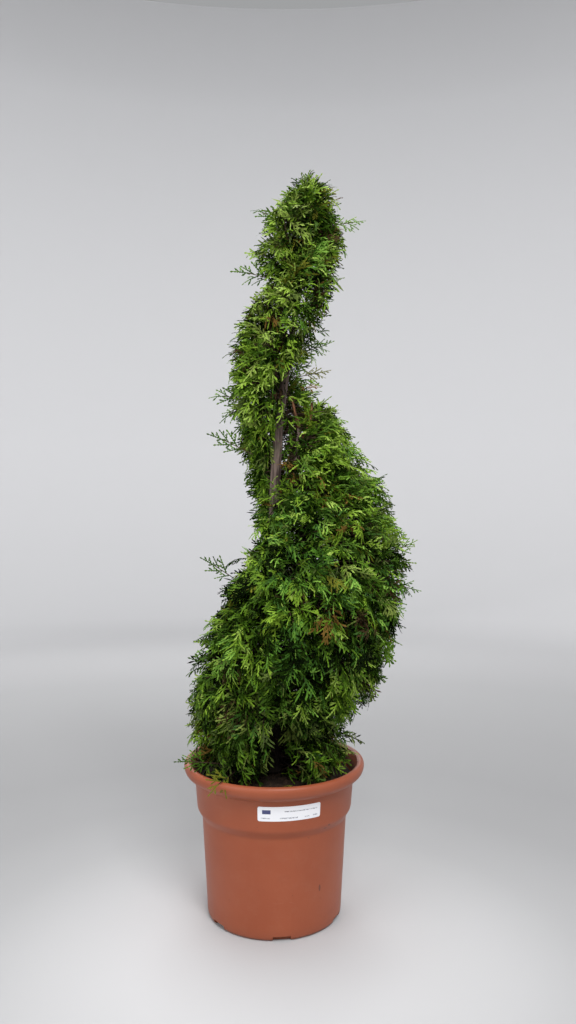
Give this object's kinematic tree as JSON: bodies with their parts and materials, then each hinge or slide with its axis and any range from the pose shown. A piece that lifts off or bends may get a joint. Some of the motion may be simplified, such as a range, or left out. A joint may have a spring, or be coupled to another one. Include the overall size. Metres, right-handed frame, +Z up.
{
  "type": "spiral topiary conifer in a plastic nursery pot",
  "caption": "Young arborvitae clipped into a rising spiral round its trunk, standing in a round terracotta-coloured plastic nursery pot filled with soil.",
  "frame": {"origin": "centre of the pot's flat underside", "axes": "+Z up along the trunk, -Y towards the front, where the spiral's open groove shows the trunk"},
  "size_m": [0.3617, 0.3254, 1.1152],
  "materials": {
    "pot": "satin",
    "soil": "matte",
    "label": "satin",
    "bark": "matte",
    "young_bark": "matte",
    "foliage": "matte"
  },
  "bodies": {
    "root": {"pot": "pot", "soil": "soil", "label": "label", "trunk": "bark", "bough_low_right": "bark", "bough_low_back": "bark", "bough_low_left": "bark", "bough_front_left": "bark", "bough_front": "bark", "bough_front_right": "bark", "bough_right": "bark", "bough_back": "bark", "bough_mid_left": "bark", "bough_mid_front": "bark", "second_stem": "young_bark", "fork_bough_left": "young_bark", "fork_bough_right": "young_bark", "foliage_low_right": "foliage", "foliage_low_back": "foliage", "foliage_low_left": "foliage", "foliage_front_left": "foliage", "foliage_front": "foliage", "foliage_front_right": "foliage", "foliage_right": "foliage", "foliage_back": "foliage", "foliage_mid_left": "foliage", "foliage_mid_front": "foliage", "foliage_high_right": "foliage", "foliage_high_back": "foliage", "foliage_tip": "foliage"}
  },
  "joints": []
}
